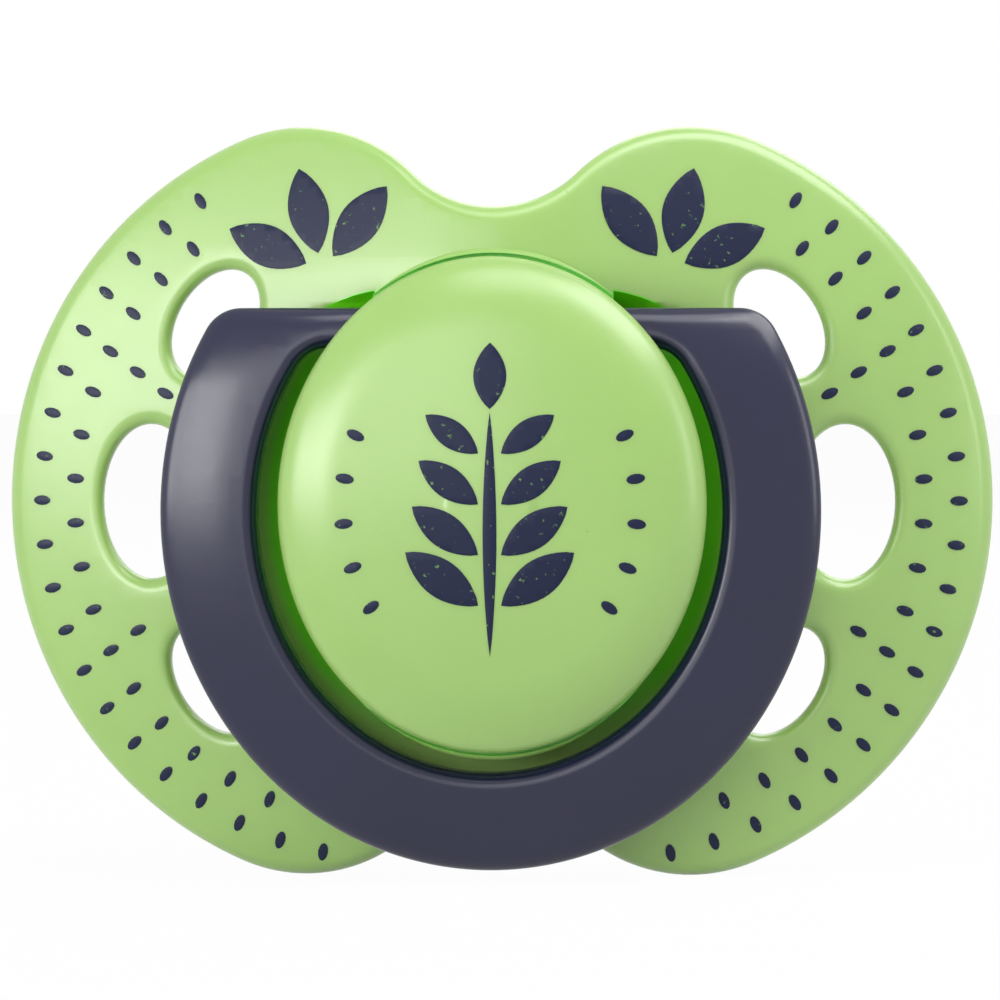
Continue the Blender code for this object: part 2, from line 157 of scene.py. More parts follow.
# Print: how far the ink stands proud of the plastic and reaches into it, then the motifs
INK_PROUD = 0.03 * MM
INK_DEPTH = 0.03 * MM
SEED_HALF_LENGTH = 0.52 * MM
SEED_HALF_WIDTH = 0.28 * MM
SEED_GAP = 2.5 * MM
SEED_ROW_GAP = 2.0 * MM
SEED_ROWS = 5
SEED_MARGIN = 1.3 * MM
FAN_OFFSET = 9.6 * MM
FAN_HEIGHT = 12.9 * MM
FAN_LEANS = (-38, 14, 66)
FAN_STALK = 1.0 * MM
FAN_LEAF_LENGTH = 4.9 * MM
FAN_LEAF_WIDTH = 2.3 * MM
FAN_ROOM = 6.0 * MM
STEM_FOOT = -8.2 * MM
STEM_LENGTH = 13.3 * MM
STEM_WIDTH = 0.75 * MM
TIP_LEAF_LENGTH = 3.6 * MM
TIP_LEAF_WIDTH = 1.8 * MM
LEAF_PAIRS = 4
LEAF_PAIR_START = -5.4 * MM
LEAF_PAIR_GAP = 2.75 * MM
LEAF_LENGTH = 4.9 * MM
LEAF_SHRINK = 0.45 * MM
LEAF_SLENDERNESS = 0.42
LEAF_LEAN = math.radians(54)
LEAF_ROOT = 0.62 * MM
LEAF_FULLNESS = 0.8
KNOB_SEEDS = 5
KNOB_SEED_SPREAD = math.radians(60)
KNOB_SEED_LOWEST = math.radians(-36)
KNOB_SEED_WIDTH = 8.0 * MM
KNOB_SEED_HEIGHT = 9.4 * MM

# Facets
CELL = 0.8 * MM
INK_CELL = 0.5 * MM
WELD = 0.001 * MM
GRID_SLACK = 0.02 * MM
FLAT = 0.999
SHARP_ANGLE = math.radians(40)
ROUND_MARGIN = 0.3 * MM
ROUND_STEPS = 6
SEED_STEPS = 12
LEAF_STEPS = 14
CORNER_STEPS = 14
DOME_STEPS = 24
LOBE_STEPS = 26
TROUGH_STEPS = 32
WING_STEPS = 40
TEAT_STEPS = 60
VENT_STEPS = 64
OVAL_STEPS = 90
TURN_STEPS = 144

# Camera: the photograph's angle, with the shield's rim as the place where the scale is set
CAMERA_AZIMUTH = math.radians(2.2)
CAMERA_ELEVATION = math.radians(1.3)
CAMERA_DISTANCE = 300 * MM
RIM_DEPTH = 5.6 * MM
RIM_WIDTH = 56.0 * MM
RIM_WIDTH_IN_FRAME = 0.984
SENSOR = 36.0
CLIP_START = 10 * MM

# Studio
LAMP_DISTANCE = 800 * MM
AMBIENT_LEVEL = 0.15
FLOOR_HALF_SIZE = 4.0
FLOOR_WHITE_SHARE = 0.97


def linear(code):
    """An sRGB hex colour as linear RGBA."""
    channels = [int(code[index:index + 2], 16) / 255 for index in (1, 3, 5)]
    return (*(c / 12.92 if c <= 0.04045 else ((c + 0.055) / 1.055) ** 2.4 for c in channels), 1.0)


def node(tree, kind, values=None, **settings):
    """Adds a node with its settings, and gives each named input a value or a link."""
    made = tree.nodes.new(kind)
    for key, value in settings.items():
        setattr(made, key, value)
    for key, value in (values or {}).items():
        if isinstance(value, bpy.types.NodeSocket):
            tree.links.new(value, made.inputs[key])
        else:
            made.inputs[key].default_value = value
    return made


def new_material(name):
    made = bpy.data.materials.new(name)
    made.use_nodes = True
    shader = made.node_tree.nodes["Principled BSDF"]
    return made, made.node_tree, shader


def fade(tree, value, limits):
    """1 where a value is below the first limit, falling to 0 at the second."""
    full, gone = limits
    made = node(
        tree,
        "ShaderNodeMapRange",
        {"Value": value, "From Min": full, "From Max": gone, "To Min": 1.0, "To Max": 0.0},
    )
    return made.outputs["Result"]


def joined(tree, first, second, operation):
    return node(tree, "ShaderNodeMath", {0: first, 1: second}, operation=operation).outputs["Value"]


def scaled_length(tree, vector, scale):
    """Length of a vector after a scale for each axis."""
    scaled = node(tree, "ShaderNodeVectorMath", {0: vector, 1: scale}, operation="MULTIPLY")
    length = node(tree, "ShaderNodeVectorMath", {0: scaled.outputs["Vector"]}, operation="LENGTH")
    return length.outputs["Value"]


def paint_crevice_shade(material, deep):
    """Painted shade: a saturated deeper green in the hub's groove, its hinge room and the moat round the
    knob, standing in for the shade and the light through the plastic there.
    """
    tree = material.node_tree
    shader = tree.nodes["Principled BSDF"]
    plain = shader.inputs["Base Color"].links[0].from_socket
    place = node(tree, "ShaderNodeTexCoord").outputs["Object"]
    axes = node(tree, "ShaderNodeSeparateXYZ", {"Vector": place}).outputs
    reach = scaled_length(tree, place, (1 / KNOB_HALF_WIDTH, 0.0, 1 / KNOB_HALF_HEIGHT))

    # Painted shade in the groove round the knob's edge
    groove_shade = fade(tree, reach, GROOVE_PAINTED_SHADE_REACH)
    groove_shade = joined(tree, groove_shade, fade(tree, axes["Y"], GROOVE_PAINTED_SHADE_DEPTH), "MULTIPLY")

    # Painted shade in the moat between the knob and the ring, fading out above the hinge and at the foot
    above_foot = joined(tree, 1.0, fade(tree, axes["Z"], MOAT_PAINTED_SHADE_FOOT), "SUBTRACT")
    moat_shade = fade(tree, reach, MOAT_PAINTED_SHADE_REACH)
    moat_shade = joined(tree, moat_shade, fade(tree, axes["Z"], MOAT_PAINTED_SHADE_TOP), "MULTIPLY")
    moat_shade = joined(tree, moat_shade, fade(tree, axes["Y"], MOAT_PAINTED_SHADE_DEPTH), "MULTIPLY")
    moat_shade = joined(tree, moat_shade, above_foot, "MULTIPLY")

    # Painted shade in the hinge room beside the saddle
    hinge = (0.0, PIVOT_Y, PIVOT_Z)
    from_hinge = node(tree, "ShaderNodeVectorMath", {0: place, 1: hinge}, operation="SUBTRACT")
    room = scaled_length(tree, from_hinge.outputs["Vector"], (0.0, 1.0, 1.0))
    aside = joined(tree, axes["X"], 0.0, "ABSOLUTE")
    past_saddle = joined(tree, 1.0, fade(tree, aside, ROOM_PAINTED_SHADE_START), "SUBTRACT")
    room_shade = joined(tree, fade(tree, room, ROOM_PAINTED_SHADE_REACH), past_saddle, "MULTIPLY")

    share = joined(tree, groove_shade, moat_shade, "MAXIMUM")
    share = joined(tree, share, room_shade, "MAXIMUM")
    # Mixes the painted crevice shade (the deep colour) into the plastic's own green
    tint = node(tree, "ShaderNodeMixRGB", {"Fac": share, "Color1": plain, "Color2": linear(deep)})
    tree.links.new(tint.outputs["Color"], shader.inputs["Base Color"])


def moulded_polypropylene(name, pale, deep, roughness, glow, shine=0.5):
    """Injection-moulded polypropylene: satin, a little cloudy, and letting some light through."""
    made, tree, shader = new_material(name)
    place = node(tree, "ShaderNodeTexCoord").outputs["Object"]
    cloud = node(tree, "ShaderNodeTexNoise", {"Vector": place, "Scale": 1 / (7 * MM), "Detail": 3.0})
    tint = node(
        tree,
        "ShaderNodeMixRGB",
        {"Fac": cloud.outputs["Fac"], "Color1": linear(pale), "Color2": linear(deep)},
    )
    scuff = node(tree, "ShaderNodeTexNoise", {"Vector": place, "Scale": 1 / (1.2 * MM), "Detail": 4.0})
    gloss = node(
        tree,
        "ShaderNodeMapRange",
        {"Value": scuff.outputs["Fac"], "To Min": roughness - 0.02, "To Max": roughness + 0.04},
    )
    grain = node(tree, "ShaderNodeTexNoise", {"Vector": place, "Scale": 1 / (0.35 * MM), "Detail": 2.0})
    bump = node(
        tree,
        "ShaderNodeBump",
        {"Height": grain.outputs["Fac"], "Strength": 0.12, "Distance": 0.02 * MM},
    )
    tree.links.new(tint.outputs["Color"], shader.inputs["Base Color"])
    tree.links.new(gloss.outputs["Result"], shader.inputs["Roughness"])
    tree.links.new(bump.outputs["Normal"], shader.inputs["Normal"])
    shader.inputs["IOR"].default_value = 1.49
    shader.inputs["Specular IOR Level"].default_value = shine
    shader.inputs["Subsurface Weight"].default_value = glow
    shader.inputs["Subsurface Radius"].default_value = (0.8, 1.0, 0.4)
    shader.inputs["Subsurface Scale"].default_value = 1.5 * MM
    return made


def pad_printed_ink():
    """Pad-printed navy ink: a thin, slightly dull film with pinholes that let the green show."""
    made, tree, shader = new_material("pad_printed_navy_ink")
    place = node(tree, "ShaderNodeTexCoord").outputs["Object"]
    pinholes = node(tree, "ShaderNodeTexNoise", {"Vector": place, "Scale": 1 / (0.3 * MM), "Detail": 3.0})
    thin = node(
        tree,
        "ShaderNodeMapRange",
        {"Value": pinholes.outputs["Fac"], "From Min": 0.66, "From Max": 0.74, "To Max": 0.7},
    )
    tint = node(
        tree,
        "ShaderNodeMixRGB",
        {"Fac": thin.outputs["Result"], "Color1": linear("#0f1835"), "Color2": linear("#6f9a55")},
    )
    tree.links.new(tint.outputs["Color"], shader.inputs["Base Color"])
    shader.inputs["Roughness"].default_value = 0.42
    shader.inputs["Specular IOR Level"].default_value = 0.25
    return made


def clear_silicone():
    """Liquid silicone rubber, moulded: clear with a faint haze and a soft, slightly tacky gloss."""
    made, tree, shader = new_material("clear_moulded_silicone")
    place = node(tree, "ShaderNodeTexCoord").outputs["Object"]
    haze = node(tree, "ShaderNodeTexNoise", {"Vector": place, "Scale": 1 / (3 * MM), "Detail": 3.0})
    gloss = node(
        tree,
        "ShaderNodeMapRange",
        {"Value": haze.outputs["Fac"], "To Min": 0.06, "To Max": 0.14},
    )
    tint = node(
        tree,
        "ShaderNodeMixRGB",
        {"Fac": haze.outputs["Fac"], "Color1": linear("#fdfcf9"), "Color2": linear("#f6f4ec")},
    )
    tree.links.new(tint.outputs["Color"], shader.inputs["Base Color"])
    tree.links.new(gloss.outputs["Result"], shader.inputs["Roughness"])
    shader.inputs["IOR"].default_value = 1.41
    shader.inputs["Transmission Weight"].default_value = 0.96
    return made


def finish_piece(name, bm, finish, body, replaced=None):
    """Makes an object of a bmesh in the frame, with its finish and its place in the model."""
    bmesh.ops.recalc_face_normals(bm, faces=bm.faces)
    mesh = bpy.data.meshes.new(name)
    bm.to_mesh(mesh)
    bm.free()
    mesh.shade_smooth()
    mesh.set_sharp_from_angle(angle=SHARP_ANGLE)
    piece = bpy.data.objects.new(name, mesh)
    bpy.context.scene.collection.objects.link(piece)
    mesh.materials.append(finish)
    if replaced:
        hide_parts(replaced)
    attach(piece, body)
    return piece


def helper(name, bm):
    """An object that only shapes another and is removed afterwards."""
    bmesh.ops.recalc_face_normals(bm, faces=bm.faces)
    mesh = bpy.data.meshes.new(name)
    bm.to_mesh(mesh)
    bm.free()
    made = bpy.data.objects.new(name, mesh)
    bpy.context.scene.collection.objects.link(made)
    return made


def combined(bm, tools):
    """The bmesh after each (tool bmesh, operation) Boolean."""
    target = helper("work", bm)
    made = [target]
    for index, (tool, operation) in enumerate(tools):
        other = helper(f"tool_{index}", tool)
        made.append(other)
        change = target.modifiers.new(other.name, "BOOLEAN")
        change.operation = operation
        change.solver = "EXACT"
        change.object = other
    graph = bpy.context.evaluated_depsgraph_get()
    mesh = bpy.data.meshes.new_from_object(target.evaluated_get(graph))
    for item in made:
        bpy.data.objects.remove(item)
    result = bmesh.new()
    result.from_mesh(mesh)
    bmesh.ops.remove_doubles(result, verts=result.verts, dist=WELD)
    return result


def arc(centre, radius, start, end, steps):
    """Points on an arc from one angle to another, both ends included."""
    angles = [start + (end - start) * step / steps for step in range(steps + 1)]
    return [(centre[0] + radius * math.cos(a), centre[1] + radius * math.sin(a)) for a in angles]


def ellipse(centre, half_length, half_width, turn, steps):
    """A closed oval whose length is turned from X by an angle."""
    points = []
    for step in range(steps):
        along = half_length * math.cos(2 * math.pi * step / steps)
        aside = half_width * math.sin(2 * math.pi * step / steps)
        x = centre[0] + along * math.cos(turn) - aside * math.sin(turn)
        z = centre[1] + along * math.sin(turn) + aside * math.cos(turn)
        points.append((x, z))
    return points


def leaf(base, length, width, turn):
    """A closed leaf outline from its stalk end, pointed at both ends."""
    points = []
    for side in (1, -1):
        for step in range(LEAF_STEPS):
            share = step / LEAF_STEPS if side > 0 else 1 - step / LEAF_STEPS
            along = length * share
            aside = side * width / 2 * math.sin(math.pi * share) ** LEAF_FULLNESS
            x = base[0] + along * math.cos(turn) - aside * math.sin(turn)
            z = base[1] + along * math.sin(turn) + aside * math.cos(turn)
            points.append((x, z))
    return points


def seed(centre, turn):
    return ellipse(centre, SEED_HALF_LENGTH, SEED_HALF_WIDTH, turn, SEED_STEPS)


def plate(loops, thickness, edge, steps=ROUND_STEPS):
    """A flat plate in the XZ plane, centred on Y = 0, with rounded rims on its outline and holes."""
    curve = bpy.data.curves.new("outline", "CURVE")
    curve.dimensions = "2D"
    curve.fill_mode = "BOTH"
    curve.extrude = thickness / 2 - edge
    curve.bevel_depth = edge
    curve.bevel_resolution = steps - 1
    curve.offset = -edge
    for loop in loops:
        spline = curve.splines.new("POLY")
        spline.points.add(len(loop) - 1)
        spline.use_cyclic_u = True
        for point, (x, z) in zip(spline.points, loop):
            point.co = (x, z, 0.0, 1.0)
    guide = bpy.data.objects.new("outline", curve)
    bpy.context.scene.collection.objects.link(guide)
    graph = bpy.context.evaluated_depsgraph_get()
    mesh = bpy.data.meshes.new_from_object(guide.evaluated_get(graph))
    bpy.data.objects.remove(guide)
    bm = bmesh.new()
    bm.from_mesh(mesh)
    bmesh.ops.remove_doubles(bm, verts=bm.verts, dist=WELD)
    for vert in bm.verts:
        x, z, depth = vert.co
        vert.co = (x, -depth, z)
    bmesh.ops.recalc_face_normals(bm, faces=bm.faces)
    return bm


def on_grid_line(edge, axis, cell):
    first, second = (vert.co[axis] for vert in edge.verts)
    off_grid = abs(first - cell * round(first / cell))
    return abs(first - second) < GRID_SLACK and off_grid < GRID_SLACK


def cut_into_cells(bm, cell):
    """Cuts the two flat faces of a plate along a square grid, so that the plate can be bent smoothly."""
    for axis in (0, 2):
        reach = max(abs(vert.co[axis]) for vert in bm.verts)
        normal = [1.0 if index == axis else 0.0 for index in range(3)]
        for index in range(-int(reach / cell), int(reach / cell) + 1):
            flat = [face for face in bm.faces if abs(face.normal.y) > FLAT]
            edges = dict.fromkeys(edge for face in flat for edge in face.edges)
            verts = dict.fromkeys(vert for face in flat for vert in face.verts)
            place = [index * cell * value for value in normal]
            bmesh.ops.bisect_plane(
                bm, geom=[*flat, *edges, *verts], dist=GRID_SLACK / 4, plane_co=place, plane_no=normal
            )
    spare = []
    for edge in bm.edges:
        inside = all(abs(face.normal.y) > FLAT for face in edge.link_faces)
        if inside and not any(on_grid_line(edge, axis, cell) for axis in (0, 2)):
            spare.append(edge)
    bmesh.ops.dissolve_edges(bm, edges=spare, use_verts=True)


def turned(profile, across=1.0, oval_from=0.0):
    """Spins a profile of (radius, y) points about Y, and makes it oval outside a given radius."""
    bm = bmesh.new()
    verts = [bm.verts.new((0.0, y, radius)) for radius, y in profile]
    edges = [bm.edges.new(pair) for pair in zip(verts, verts[1:])]
    bmesh.ops.spin(
        bm,
        geom=[*verts, *edges],
        cent=(0.0, 0.0, 0.0),
        axis=(0.0, 1.0, 0.0),
        angle=2 * math.pi,
        steps=TURN_STEPS,
        use_merge=True,
    )
    bmesh.ops.remove_doubles(bm, verts=bm.verts, dist=WELD)
    oval = [vert for vert in bm.verts if math.hypot(vert.co.x, vert.co.z) > oval_from]
    bmesh.ops.scale(bm, verts=oval, vec=(across, 1.0, 1.0))
    bmesh.ops.recalc_face_normals(bm, faces=bm.faces)
    return bm


def trough(radius, left, right):
    """A cutter along the hinge axis, round at its floor and open to the front."""
    bm = bmesh.new()
    section = arc((PIVOT_Y, PIVOT_Z), radius, -math.pi / 2, math.pi / 2, TROUGH_STEPS)
    past_front = PLINTH_FRONT - PLATE_THICKNESS
    section += [(past_front, PIVOT_Z + radius), (past_front, PIVOT_Z - radius)]
    face = bm.faces.new([bm.verts.new((left, y, z)) for y, z in section])
    far_end = bmesh.ops.extrude_face_region(bm, geom=[face])["geom"]
    moved = [item for item in far_end if isinstance(item, bmesh.types.BMVert)]
    bmesh.ops.translate(bm, verts=moved, vec=(right - left, 0.0, 0.0))
    bmesh.ops.recalc_face_normals(bm, faces=bm.faces)
    return bm


def rod(radius, left, right):
    """A round rod along the hinge axis."""
    bm = turned([(0.0, left), (radius, left), (radius, right), (0.0, right)])
    for vert in bm.verts:
        x, y, z = vert.co
        vert.co = (y, PIVOT_Y + x, PIVOT_Z + z)
    bmesh.ops.recalc_face_normals(bm, faces=bm.faces)
    return bm


def block(low, high):
    bm = bmesh.new()
    bmesh.ops.create_cube(bm, size=1.0)
    for vert in bm.verts:
        for axis in range(3):
            vert.co[axis] = low[axis] if vert.co[axis] < 0 else high[axis]
    return bm


def smooth_step(value):
    value = min(max(value, 0.0), 1.0)
    return value**3 * (10 - 15 * value + 6 * value**2)


def dish(x, z):
    """How far the shield has swept back from its middle."""
    across = DISH_ACROSS - math.sqrt(DISH_ACROSS**2 - x**2)
    upright = DISH_UPRIGHT - math.sqrt(DISH_UPRIGHT**2 - z**2)
    brow = smooth_step((z - BROW_START) / (BROW_FULL - BROW_START))
    return across + upright - BROW_RISE * brow * math.exp(-((x / BROW_HALF_WIDTH) ** 2))


def shield_outline():
    """Wing, lobe and notch arcs that run into each other, mirrored to all four quarters."""
    notch = (0.0, NOTCH_HEIGHT + NOTCH_RADIUS)
    span = math.hypot(WING_OFFSET, notch[1])
    to_wing = WING_RADIUS - LOBE_RADIUS
    to_notch = NOTCH_RADIUS + LOBE_RADIUS
    along = (to_wing**2 - to_notch**2 + span**2) / (2 * span)
    aside = math.sqrt(to_wing**2 - along**2)
    slope = (-WING_OFFSET / span, notch[1] / span)
    lobe = (WING_OFFSET + along * slope[0] + aside * slope[1], along * slope[1] - aside * slope[0])
    wing_end = math.atan2(lobe[1], lobe[0] - WING_OFFSET)
    lobe_end = math.atan2(notch[1] - lobe[1], notch[0] - lobe[0])
    quarter = arc((WING_OFFSET, 0.0), WING_RADIUS, 0.0, wing_end, WING_STEPS)
    quarter += arc(lobe, LOBE_RADIUS, wing_end, lobe_end, LOBE_STEPS)[1:]
    quarter += arc(notch, NOTCH_RADIUS, lobe_end - math.pi, -math.pi / 2, CORNER_STEPS)[1:]
    upper = quarter + [(-x, z) for x, z in reversed(quarter[:-1])]
    return upper + [(x, -z) for x, z in reversed(upper[1:-1])]


def vents():
    """(centre, half length, half width, turn) of each vent."""
    found = []
    for side in (1, -1):
        found.append(((side * VENT_REACH, 0.0), VENT_WIDTH / 2, VENT_LENGTH / 2, 0.0))
        for level in (1, -1):
            x = side * CORNER_VENT_REACH * math.cos(CORNER_VENT_ANGLE)
            z = level * CORNER_VENT_REACH * math.sin(CORNER_VENT_ANGLE)
            turn = side * level * (CORNER_VENT_ANGLE - math.pi / 2)
            found.append(((x, z), CORNER_VENT_LENGTH / 2, CORNER_VENT_WIDTH / 2, turn))
    return found


def groove():
    """A cutter for the channel round the knob's edge."""
    above = PLINTH_FRONT - PLINTH_SHOULDER
    profile = [(GROOVE_INNER, above), (GROOVE_OUTER, above), (GROOVE_OUTER, GROOVE_FLOOR)]
    profile += [(GROOVE_INNER, GROOVE_FLOOR), (GROOVE_INNER, above)]
    return turned(profile, KNOB_HALF_WIDTH / KNOB_HALF_HEIGHT)


def make_shield(finish):
    """Dished, vented plate with its oval plinth, cut for the handle's bar."""
    core = SEAT_RADIUS + HUB_WALL / 2
    loops = [shield_outline(), ellipse((0.0, 0.0), core, core, 0.0, TURN_STEPS)]
    loops += [ellipse(*vent, VENT_STEPS) for vent in vents()]
    bm = plate(loops, PLATE_THICKNESS, PLATE_EDGE)
    cut_into_cells(bm, CELL)
    for vert in bm.verts:
        vert.co.y += PLATE_FRONT + PLATE_THICKNESS / 2 + dish(vert.co.x, vert.co.z)
    bmesh.ops.triangulate(bm, faces=bm.faces)

    corner = (PLINTH_HALF_HEIGHT - PLINTH_SHOULDER, PLINTH_FRONT + PLINTH_SHOULDER)
    foot = PLATE_FRONT + PLATE_THICKNESS / 2
    boss = SEAT_RADIUS + HUB_WALL
    profile = [(NECK_HOLE_RADIUS, 0.0), (NECK_HOLE_RADIUS, SEAT_DEPTH), (SEAT_RADIUS, SEAT_DEPTH)]
    profile.append((SEAT_RADIUS, PLINTH_FRONT))
    profile += arc(corner, PLINTH_SHOULDER, -math.pi / 2, 0.0, CORNER_STEPS)
    profile += [(PLINTH_HALF_HEIGHT, foot), (boss, foot)]
    profile += arc((boss - BOSS_EDGE, -BOSS_EDGE), BOSS_EDGE, 0.0, math.pi / 2, CORNER_STEPS)
    narrowing = PLINTH_HALF_WIDTH / PLINTH_HALF_HEIGHT
    hub = turned([*profile, profile[0]], narrowing, boss + ROUND_MARGIN)
    for vert in hub.verts:
        if abs(vert.co.y - foot) < WELD:
            vert.co.y += dish(vert.co.x, vert.co.z)
    saddle_end = SADDLE_HALF_LENGTH + SIDE_PLAY
    tools = [
        (hub, "UNION"),
        (groove(), "DIFFERENCE"),
        (trough(BAR_RADIUS + BAR_PLAY, -saddle_end, saddle_end), "DIFFERENCE"),
        (trough(SHOULDER_SWING, SADDLE_HALF_LENGTH, RING_HALF_WIDTH), "DIFFERENCE"),
        (trough(SHOULDER_SWING, -RING_HALF_WIDTH, -SADDLE_HALF_LENGTH), "DIFFERENCE"),
    ]
    finish_piece("shield_moulding", combined(bm, tools), finish, "soother", "shield")


def d_outline(half_width, half_height, top, corner):
    """An oval about the ring's middle, cut off straight at the top with rounded corners."""
    lean = math.asin((top - corner + RING_DROP) / (half_height - corner))
    centre = ((half_width - corner) * math.cos(lean), top - corner)
    corner_end = math.atan2(math.sin(lean) / half_height, math.cos(lean) / half_width)
    side = [(centre[0] * step / CORNER_STEPS, top) for step in range(CORNER_STEPS)]
    side += arc(centre, corner, math.pi / 2, corner_end, CORNER_STEPS)
    for step in range(1, OVAL_STEPS + 1):
        angle = lean + (-math.pi / 2 - lean) * step / OVAL_STEPS
        side.append((half_width * math.cos(angle), half_height * math.sin(angle) - RING_DROP))
    return side + [(-x, z) for x, z in reversed(side[1:-1])]


def ring_slope(x, z):
    """From 0 at the ring's inner rim to 1 at its outer rim."""
    half_width = RING_HALF_WIDTH - RING_BAND
    half_height = RING_HALF_HEIGHT - RING_BAND
    reach = math.hypot(x / half_width, (z + RING_DROP) / half_height) - 1
    return min(max(reach / (RING_HALF_WIDTH / half_width - 1), 0.0), 1.0)


def make_ring(finish):
    """Flat-backed ring with a crowned front, on the round bar that the knob traps.

    It hangs a little off centre, within the bar's side play. The bar is a hair thinner than the ring's
    top edge, so that their faces don't coincide.
    """
    outer = d_outline(RING_HALF_WIDTH, RING_HALF_HEIGHT, PIVOT_Z + BAR_RADIUS, SHOULDER_RADIUS)
    inner = d_outline(
        RING_HALF_WIDTH - RING_BAND,
        RING_HALF_HEIGHT - RING_BAND,
        PIVOT_Z - BAR_RADIUS,
        INNER_CORNER_RADIUS,
    )
    bm = plate([outer, inner], RING_THICKNESS, RING_EDGE)
    cut_into_cells(bm, CELL)
    for vert in bm.verts:
        front_share = 0.5 - vert.co.y / RING_THICKNESS
        lowered = RING_CROWN * ring_slope(vert.co.x, vert.co.z) ** RING_ROUNDNESS
        rise = (vert.co.z - SHOULDER_START) / (PIVOT_Z + BAR_RADIUS - SHOULDER_START)
        lowered += SHOULDER_DROP * max(rise, 0.0) ** 2
        vert.co.y += RING_MIDDLE + lowered * front_share
    bmesh.ops.triangulate(bm, faces=bm.faces)
    gap_end = SADDLE_HALF_LENGTH + SIDE_PLAY
    low = (-gap_end, PIVOT_Y - 2 * RING_THICKNESS, PIVOT_Z - 2 * BAR_RADIUS)
    high = (gap_end, PIVOT_Y + 2 * RING_THICKNESS, PIVOT_Z + 2 * BAR_RADIUS)
    root = gap_end + BAR_RADIUS / 2
    tools = [(block(low, high), "DIFFERENCE"), (rod(BAR_RADIUS - BAR_EASE, -root, root), "UNION")]
    ring = combined(bm, tools)
    bmesh.ops.translate(ring, verts=ring.verts, vec=(RING_REST_OFFSET, 0.0, 0.0))
    finish_piece("ring_moulding", ring, finish, "handle", "handle_ring")


def knob_front(radius):
    """Depth of the knob's face at a distance from its middle, measured along its height."""
    face_radius = KNOB_HALF_HEIGHT - KNOB_ROLL_WIDTH
    dome = KNOB_DOME * ((radius / face_radius) ** 2 - 1)
    share = min(max(radius - face_radius, 0.0) / KNOB_ROLL_WIDTH, 1.0)
    roll = KNOB_ROLL_DEPTH * (1 - math.sqrt(1 - share**2))
    return KNOB_REAR - KNOB_DEPTH + dome + roll


def make_knob(finish):
    """Domed oval cover, hollow behind, with its spigot and the rib that keeps the bar in its saddle."""
    face_radius = KNOB_HALF_HEIGHT - KNOB_ROLL_WIDTH
    radii = [face_radius * step / DOME_STEPS for step in range(DOME_STEPS)]
    turns = [math.pi / 2 * step / DOME_STEPS for step in range(DOME_STEPS + 1)]
    radii += [face_radius + KNOB_ROLL_WIDTH * math.sin(turn) for turn in turns]
    profile = [(radius, knob_front(radius)) for radius in radii]
    roof = KNOB_REAR - KNOB_DEPTH + KNOB_WALL
    inside = KNOB_HALF_HEIGHT - KNOB_WALL
    profile += [(KNOB_HALF_HEIGHT, KNOB_REAR), (inside, KNOB_REAR), (inside - KNOB_ROLL_WIDTH / 2, roof)]
    spigot_end = KNOB_REAR + SPIGOT_LENGTH
    profile += [(SPIGOT_RADIUS, roof), (SPIGOT_RADIUS, spigot_end), (0.0, spigot_end)]
    bm = turned(profile, KNOB_HALF_WIDTH / KNOB_HALF_HEIGHT, SPIGOT_RADIUS + ROUND_MARGIN)
    low = (-KEEPER_HALF_LENGTH, roof - KNOB_WALL / 2, PIVOT_Z - KEEPER_HALF_WIDTH)
    high = (KEEPER_HALF_LENGTH, KEEPER_REAR, PIVOT_Z + KEEPER_HALF_WIDTH)
    bm = combined(bm, [(block(low, high), "UNION")])
    finish_piece("knob_moulding", bm, finish, "soother", "knob_cover")


def teat_radius(y):
    """Outer radius of the teat before it is flattened."""
    if y > TEAT_BULB_START:
        share = min((y - TEAT_BULB_START) / (TEAT_LENGTH - TEAT_BULB_START), 1.0)
        return TEAT_BULB_RADIUS * math.sqrt(1 - share**2)
    swell = smooth_step((y - TEAT_NECK_END) / (TEAT_BULB_START - TEAT_NECK_END))
    return TEAT_NECK_RADIUS + (TEAT_BULB_RADIUS - TEAT_NECK_RADIUS) * swell


def make_teat(finish):
    """Hollow teat, open at its flange, round at the neck and flat at the bulb."""
    length = TEAT_LENGTH - TEAT_NECK_END
    turns = [math.pi / 2 * step / TEAT_STEPS for step in range(TEAT_STEPS)]
    stations = [TEAT_NECK_END + length * math.sin(turn) for turn in turns]
    bore = TEAT_NECK_RADIUS - TEAT_WALL
    profile = [(bore, TEAT_FLANGE_FRONT), (TEAT_FLANGE_RADIUS, TEAT_FLANGE_FRONT)]
    profile += [(TEAT_FLANGE_RADIUS, TEAT_FLANGE_REAR), (TEAT_NECK_RADIUS, TEAT_FLANGE_REAR)]
    profile += [(teat_radius(y), y) for y in stations]
    profile += [(0.0, TEAT_LENGTH), (0.0, TEAT_LENGTH - TEAT_WALL)]
    hollow = (TEAT_LENGTH - TEAT_WALL) / TEAT_LENGTH
    for y in reversed(stations):
        radius = teat_radius(y)
        profile.append((radius - TEAT_WALL * min(1.0, radius / TEAT_BULB_RADIUS), y * hollow))
    bm = turned([*profile, profile[0]])
    for edge in [edge for edge in bm.edges if not edge.link_faces]:
        bm.edges.remove(edge)
    for vert in bm.verts:
        flat = smooth_step((vert.co.y - TEAT_NECK_END) / (TEAT_BULB_START - TEAT_NECK_END))
        vert.co.z *= 1 - (1 - TEAT_FLATNESS) * flat
    finish_piece("teat_silicone", bm, finish, "soother", "teat")


def drape(loops, surface, cell):
    """A thin film of ink in the shape of the loops, laid on a surface given as its depth at x and z."""
    thickness = INK_PROUD + INK_DEPTH
    bm = plate(loops, thickness, thickness / 4, 2)
    if cell:
        cut_into_cells(bm, cell)
    bmesh.ops.triangulate(bm, faces=bm.faces)
    lift = thickness / 2 - INK_DEPTH
    for vert in bm.verts:
        vert.co.y += surface(vert.co.x, vert.co.z) - lift
    return bm


def knob_surface(x, z):
    return knob_front(math.hypot(x * KNOB_HALF_HEIGHT / KNOB_HALF_WIDTH, z))


def shield_surface(x, z):
    return PLATE_FRONT + dish(x, z)


